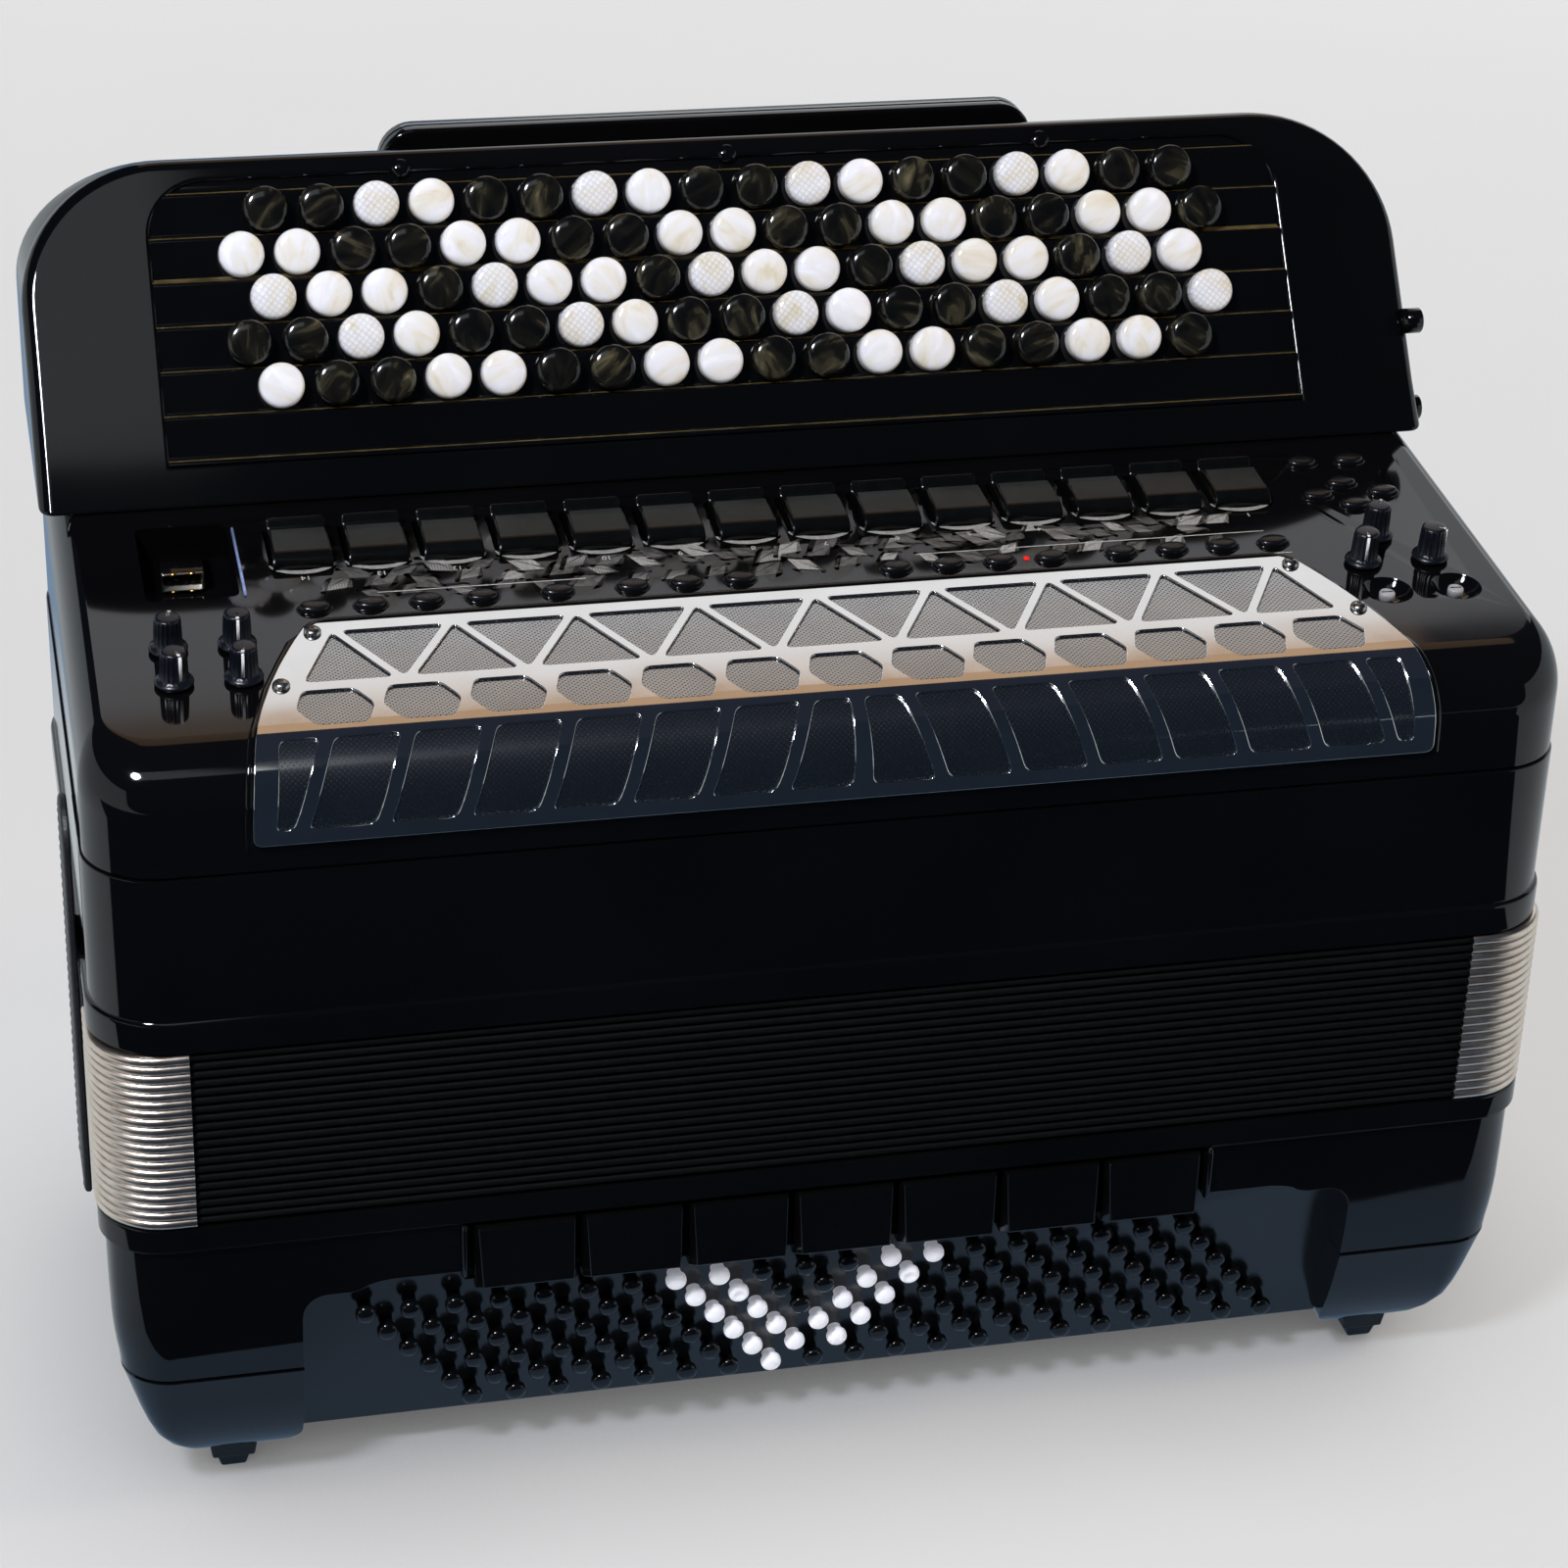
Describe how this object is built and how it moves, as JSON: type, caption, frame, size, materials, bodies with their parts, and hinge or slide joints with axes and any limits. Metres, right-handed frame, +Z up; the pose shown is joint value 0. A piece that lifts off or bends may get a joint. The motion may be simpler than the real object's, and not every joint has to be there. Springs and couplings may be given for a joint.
{
  "type": "button accordion",
  "caption": "Digital button accordion standing on its bass end, with stepped treble buttons, register keys, a sloping control panel and folded bellows.",
  "frame": {"origin": "on the floor, in the middle of the width and depth of the whole instrument", "axes": "+X to the right seen from the grille side, +Y from the grille side to the player's side, +Z up, from the bass end to the treble end"},
  "size_m": [0.4862, 0.2512, 0.3911],
  "materials": {
    "gloss_black": "high gloss",
    "satin_black": "satin",
    "rubber_black": "matt",
    "soft_black": "satin",
    "bass_button": "gloss, with some caps white",
    "pearl_button": "pearl, white and black",
    "bellows_cloth": "black cloth with bright corner clips",
    "strap_leather": "stitched",
    "chrome": "mirror",
    "circuit_green": "solder mask",
    "steel": "satin",
    "grey_plastic": "satin"
  },
  "bodies": {
    "bass_side": {"bass_casing": "gloss_black", "bass_end_cover": "gloss_black", "bass_button_plate": "satin_black", "battery_pack": "satin_black", "feet_left": "rubber_black", "feet_right": "rubber_black", "bellows": "bellows_cloth", "bellows_strap": "strap_leather"},
    "bass_row_1": {"bass_row_1": "bass_button"},
    "bass_row_2": {"bass_row_2": "bass_button"},
    "bass_row_3": {"bass_row_3": "bass_button"},
    "bass_row_4": {"bass_row_4": "bass_button"},
    "bass_row_5": {"bass_row_5": "bass_button"},
    "bass_row_6": {"bass_row_6": "bass_button"},
    "bass_register_1": {"bass_register_1": "gloss_black"},
    "bass_register_2": {"bass_register_2": "gloss_black"},
    "bass_register_3": {"bass_register_3": "gloss_black"},
    "bass_register_4": {"bass_register_4": "gloss_black"},
    "bass_register_5": {"bass_register_5": "gloss_black"},
    "bass_register_6": {"bass_register_6": "gloss_black"},
    "bass_register_7": {"bass_register_7": "gloss_black"},
    "treble_side": {"treble_frame": "gloss_black", "treble_casing": "gloss_black", "keyboard_housing": "gloss_black", "keyboard_board": "gloss_black", "treble_back_cover": "gloss_black", "grille": "chrome", "speaker_plate": "satin_black", "main_circuit_board": "circuit_green", "memory_socket": "steel"},
    "treble_row_1": {"treble_row_1": "pearl_button"},
    "treble_row_2": {"treble_row_2": "pearl_button"},
    "treble_row_3": {"treble_row_3": "pearl_button"},
    "treble_row_4": {"treble_row_4": "pearl_button"},
    "treble_row_5": {"treble_row_5": "pearl_button"},
    "treble_register_1": {"treble_register_1": "gloss_black"},
    "treble_register_2": {"treble_register_2": "gloss_black"},
    "treble_register_3": {"treble_register_3": "gloss_black"},
    "treble_register_4": {"treble_register_4": "gloss_black"},
    "treble_register_5": {"treble_register_5": "gloss_black"},
    "treble_register_6": {"treble_register_6": "gloss_black"},
    "treble_register_7": {"treble_register_7": "gloss_black"},
    "treble_register_8": {"treble_register_8": "gloss_black"},
    "treble_register_9": {"treble_register_9": "gloss_black"},
    "treble_register_10": {"treble_register_10": "gloss_black"},
    "treble_register_11": {"treble_register_11": "gloss_black"},
    "treble_register_12": {"treble_register_12": "gloss_black"},
    "treble_register_13": {"treble_register_13": "gloss_black"},
    "treble_register_14": {"treble_register_14": "gloss_black"},
    "knob_left_1": {"knob_left_1": "soft_black"},
    "knob_left_2": {"knob_left_2": "soft_black"},
    "knob_left_3": {"knob_left_3": "soft_black"},
    "knob_left_4": {"knob_left_4": "soft_black"},
    "knob_right_1": {"knob_right_1": "soft_black"},
    "knob_right_2": {"knob_right_2": "soft_black"},
    "knob_right_3": {"knob_right_3": "soft_black"},
    "trim_knob_left": {"trim_knob_left": "grey_plastic"},
    "trim_knob_right": {"trim_knob_right": "grey_plastic"},
    "oval_buttons_front": {"oval_buttons_front": "soft_black"},
    "oval_buttons_rear": {"oval_buttons_rear": "soft_black"}
  },
  "joints": [
    {"name": "bellows_slide", "type": "slide", "parent": "bass_side", "child": "treble_side", "axis": [0, 0, 1], "range_m": [0, 0.3], "deforming": ["bellows"]},
    {"name": "bass_row_1_press", "type": "slide", "parent": "bass_side", "child": "bass_row_1", "axis": [0, 0.9903, 0.1392], "range_m": [0, 0.003], "stiffness_N_per_m": 400, "springref_m": -0.003},
    {"name": "bass_row_2_press", "type": "slide", "parent": "bass_side", "child": "bass_row_2", "axis": [0, 0.9903, 0.1392], "range_m": [0, 0.003], "stiffness_N_per_m": 400, "springref_m": -0.003},
    {"name": "bass_row_3_press", "type": "slide", "parent": "bass_side", "child": "bass_row_3", "axis": [0, 0.9903, 0.1392], "range_m": [0, 0.003], "stiffness_N_per_m": 400, "springref_m": -0.003},
    {"name": "bass_row_4_press", "type": "slide", "parent": "bass_side", "child": "bass_row_4", "axis": [0, 0.9903, 0.1392], "range_m": [0, 0.003], "stiffness_N_per_m": 400, "springref_m": -0.003},
    {"name": "bass_row_5_press", "type": "slide", "parent": "bass_side", "child": "bass_row_5", "axis": [0, 0.9903, 0.1392], "range_m": [0, 0.003], "stiffness_N_per_m": 400, "springref_m": -0.003},
    {"name": "bass_row_6_press", "type": "slide", "parent": "bass_side", "child": "bass_row_6", "axis": [0, 0.9903, 0.1392], "range_m": [0, 0.003], "stiffness_N_per_m": 400, "springref_m": -0.003},
    {"name": "bass_register_1_press", "type": "slide", "parent": "bass_side", "child": "bass_register_1", "axis": [0, 1, 0], "range_m": [0, 0.0025], "stiffness_N_per_m": 300, "springref_m": -0.002},
    {"name": "bass_register_2_press", "type": "slide", "parent": "bass_side", "child": "bass_register_2", "axis": [0, 1, 0], "range_m": [0, 0.0025], "stiffness_N_per_m": 300, "springref_m": -0.002},
    {"name": "bass_register_3_press", "type": "slide", "parent": "bass_side", "child": "bass_register_3", "axis": [0, 1, 0], "range_m": [0, 0.0025], "stiffness_N_per_m": 300, "springref_m": -0.002},
    {"name": "bass_register_4_press", "type": "slide", "parent": "bass_side", "child": "bass_register_4", "axis": [0, 1, 0], "range_m": [0, 0.0025], "stiffness_N_per_m": 300, "springref_m": -0.002},
    {"name": "bass_register_5_press", "type": "slide", "parent": "bass_side", "child": "bass_register_5", "axis": [0, 1, 0], "range_m": [0, 0.0025], "stiffness_N_per_m": 300, "springref_m": -0.002},
    {"name": "bass_register_6_press", "type": "slide", "parent": "bass_side", "child": "bass_register_6", "axis": [0, 1, 0], "range_m": [0, 0.0025], "stiffness_N_per_m": 300, "springref_m": -0.002},
    {"name": "bass_register_7_press", "type": "slide", "parent": "bass_side", "child": "bass_register_7", "axis": [0, 1, 0], "range_m": [0, 0.0025], "stiffness_N_per_m": 300, "springref_m": -0.002},
    {"name": "treble_row_1_press", "type": "slide", "parent": "treble_side", "child": "treble_row_1", "axis": [0, 0.9063, -0.4226], "range_m": [0, 0.004], "stiffness_N_per_m": 500, "springref_m": -0.003},
    {"name": "treble_row_2_press", "type": "slide", "parent": "treble_side", "child": "treble_row_2", "axis": [0, 0.9063, -0.4226], "range_m": [0, 0.004], "stiffness_N_per_m": 500, "springref_m": -0.003},
    {"name": "treble_row_3_press", "type": "slide", "parent": "treble_side", "child": "treble_row_3", "axis": [0, 0.9063, -0.4226], "range_m": [0, 0.004], "stiffness_N_per_m": 500, "springref_m": -0.003},
    {"name": "treble_row_4_press", "type": "slide", "parent": "treble_side", "child": "treble_row_4", "axis": [0, 0.9063, -0.4226], "range_m": [0, 0.004], "stiffness_N_per_m": 500, "springref_m": -0.003},
    {"name": "treble_row_5_press", "type": "slide", "parent": "treble_side", "child": "treble_row_5", "axis": [0, 0.9063, -0.4226], "range_m": [0, 0.004], "stiffness_N_per_m": 500, "springref_m": -0.003},
    {"name": "treble_register_1_rock", "type": "hinge", "parent": "treble_side", "child": "treble_register_1", "pos_m": [-0.15934, 0.01072, 0.28713], "axis": [1, 0, 0], "range_deg": [0, 5], "stiffness_Nm_per_rad": 0.1, "springref_deg": -6.88},
    {"name": "treble_register_2_rock", "type": "hinge", "parent": "treble_side", "child": "treble_register_2", "pos_m": [-0.13497, 0.01072, 0.28713], "axis": [1, 0, 0], "range_deg": [0, 5], "stiffness_Nm_per_rad": 0.1, "springref_deg": -6.88},
    {"name": "treble_register_3_rock", "type": "hinge", "parent": "treble_side", "child": "treble_register_3", "pos_m": [-0.1106, 0.01072, 0.28713], "axis": [1, 0, 0], "range_deg": [0, 5], "stiffness_Nm_per_rad": 0.1, "springref_deg": -6.88},
    {"name": "treble_register_4_rock", "type": "hinge", "parent": "treble_side", "child": "treble_register_4", "pos_m": [-0.08623, 0.01072, 0.28713], "axis": [1, 0, 0], "range_deg": [0, 5], "stiffness_Nm_per_rad": 0.1, "springref_deg": -6.88},
    {"name": "treble_register_5_rock", "type": "hinge", "parent": "treble_side", "child": "treble_register_5", "pos_m": [-0.06186, 0.01072, 0.28713], "axis": [1, 0, 0], "range_deg": [0, 5], "stiffness_Nm_per_rad": 0.1, "springref_deg": -6.88},
    {"name": "treble_register_6_rock", "type": "hinge", "parent": "treble_side", "child": "treble_register_6", "pos_m": [-0.03749, 0.01072, 0.28713], "axis": [1, 0, 0], "range_deg": [0, 5], "stiffness_Nm_per_rad": 0.1, "springref_deg": -6.88},
    {"name": "treble_register_7_rock", "type": "hinge", "parent": "treble_side", "child": "treble_register_7", "pos_m": [-0.01312, 0.01072, 0.28713], "axis": [1, 0, 0], "range_deg": [0, 5], "stiffness_Nm_per_rad": 0.1, "springref_deg": -6.88},
    {"name": "treble_register_8_rock", "type": "hinge", "parent": "treble_side", "child": "treble_register_8", "pos_m": [0.01125, 0.01072, 0.28713], "axis": [1, 0, 0], "range_deg": [0, 5], "stiffness_Nm_per_rad": 0.1, "springref_deg": -6.88},
    {"name": "treble_register_9_rock", "type": "hinge", "parent": "treble_side", "child": "treble_register_9", "pos_m": [0.03562, 0.01072, 0.28713], "axis": [1, 0, 0], "range_deg": [0, 5], "stiffness_Nm_per_rad": 0.1, "springref_deg": -6.88},
    {"name": "treble_register_10_rock", "type": "hinge", "parent": "treble_side", "child": "treble_register_10", "pos_m": [0.05999, 0.01072, 0.28713], "axis": [1, 0, 0], "range_deg": [0, 5], "stiffness_Nm_per_rad": 0.1, "springref_deg": -6.88},
    {"name": "treble_register_11_rock", "type": "hinge", "parent": "treble_side", "child": "treble_register_11", "pos_m": [0.08436, 0.01072, 0.28713], "axis": [1, 0, 0], "range_deg": [0, 5], "stiffness_Nm_per_rad": 0.1, "springref_deg": -6.88},
    {"name": "treble_register_12_rock", "type": "hinge", "parent": "treble_side", "child": "treble_register_12", "pos_m": [0.10873, 0.01072, 0.28713], "axis": [1, 0, 0], "range_deg": [0, 5], "stiffness_Nm_per_rad": 0.1, "springref_deg": -6.88},
    {"name": "treble_register_13_rock", "type": "hinge", "parent": "treble_side", "child": "treble_register_13", "pos_m": [0.1331, 0.01072, 0.28713], "axis": [1, 0, 0], "range_deg": [0, 5], "stiffness_Nm_per_rad": 0.1, "springref_deg": -6.88},
    {"name": "treble_register_14_rock", "type": "hinge", "parent": "treble_side", "child": "treble_register_14", "pos_m": [0.15747, 0.01072, 0.28713], "axis": [1, 0, 0], "range_deg": [0, 5], "stiffness_Nm_per_rad": 0.1, "springref_deg": -6.88},
    {"name": "knob_left_1_turn", "type": "hinge", "parent": "treble_side", "child": "knob_left_1", "pos_m": [-0.20635, -0.07565, 0.28192], "axis": [0, -0.1063, 0.9943], "range_deg": [-150, 150]},
    {"name": "knob_left_2_turn", "type": "hinge", "parent": "treble_side", "child": "knob_left_2", "pos_m": [-0.18513, -0.07565, 0.28192], "axis": [0, -0.1063, 0.9943], "range_deg": [-150, 150]},
    {"name": "knob_left_3_turn", "type": "hinge", "parent": "treble_side", "child": "knob_left_3", "pos_m": [-0.20635, -0.05616, 0.28401], "axis": [0, -0.1063, 0.9943], "range_deg": [-150, 150]},
    {"name": "knob_left_4_turn", "type": "hinge", "parent": "treble_side", "child": "knob_left_4", "pos_m": [-0.18513, -0.05616, 0.28401], "axis": [0, -0.1063, 0.9943], "range_deg": [-150, 150]},
    {"name": "knob_right_1_turn", "type": "hinge", "parent": "treble_side", "child": "knob_right_1", "pos_m": [0.18527, -0.05384, 0.28425], "axis": [0, -0.1063, 0.9943], "range_deg": [-150, 150]},
    {"name": "knob_right_2_turn", "type": "hinge", "parent": "treble_side", "child": "knob_right_2", "pos_m": [0.20876, -0.05384, 0.28425], "axis": [0, -0.1063, 0.9943], "range_deg": [-150, 150]},
    {"name": "knob_right_3_turn", "type": "hinge", "parent": "treble_side", "child": "knob_right_3", "pos_m": [0.19526, -0.03765, 0.28598], "axis": [0, -0.1063, 0.9943], "range_deg": [-150, 150]},
    {"name": "trim_knob_left_turn", "type": "hinge", "parent": "treble_side", "child": "trim_knob_left", "pos_m": [0.18757, -0.07166, 0.28235], "axis": [0, -0.1063, 0.9943], "range_deg": [-140, 140]},
    {"name": "trim_knob_right_turn", "type": "hinge", "parent": "treble_side", "child": "trim_knob_right", "pos_m": [0.21126, -0.07205, 0.28231], "axis": [0, -0.1063, 0.9943], "range_deg": [-140, 140]},
    {"name": "oval_buttons_front_press", "type": "slide", "parent": "treble_side", "child": "oval_buttons_front", "axis": [0, 0.1063, -0.9943], "range_m": [0, 0.001], "stiffness_N_per_m": 500, "springref_m": -0.002},
    {"name": "oval_buttons_rear_press", "type": "slide", "parent": "treble_side", "child": "oval_buttons_rear", "axis": [0, 0.1063, -0.9943], "range_m": [0, 0.001], "stiffness_N_per_m": 500, "springref_m": -0.002}
  ]
}
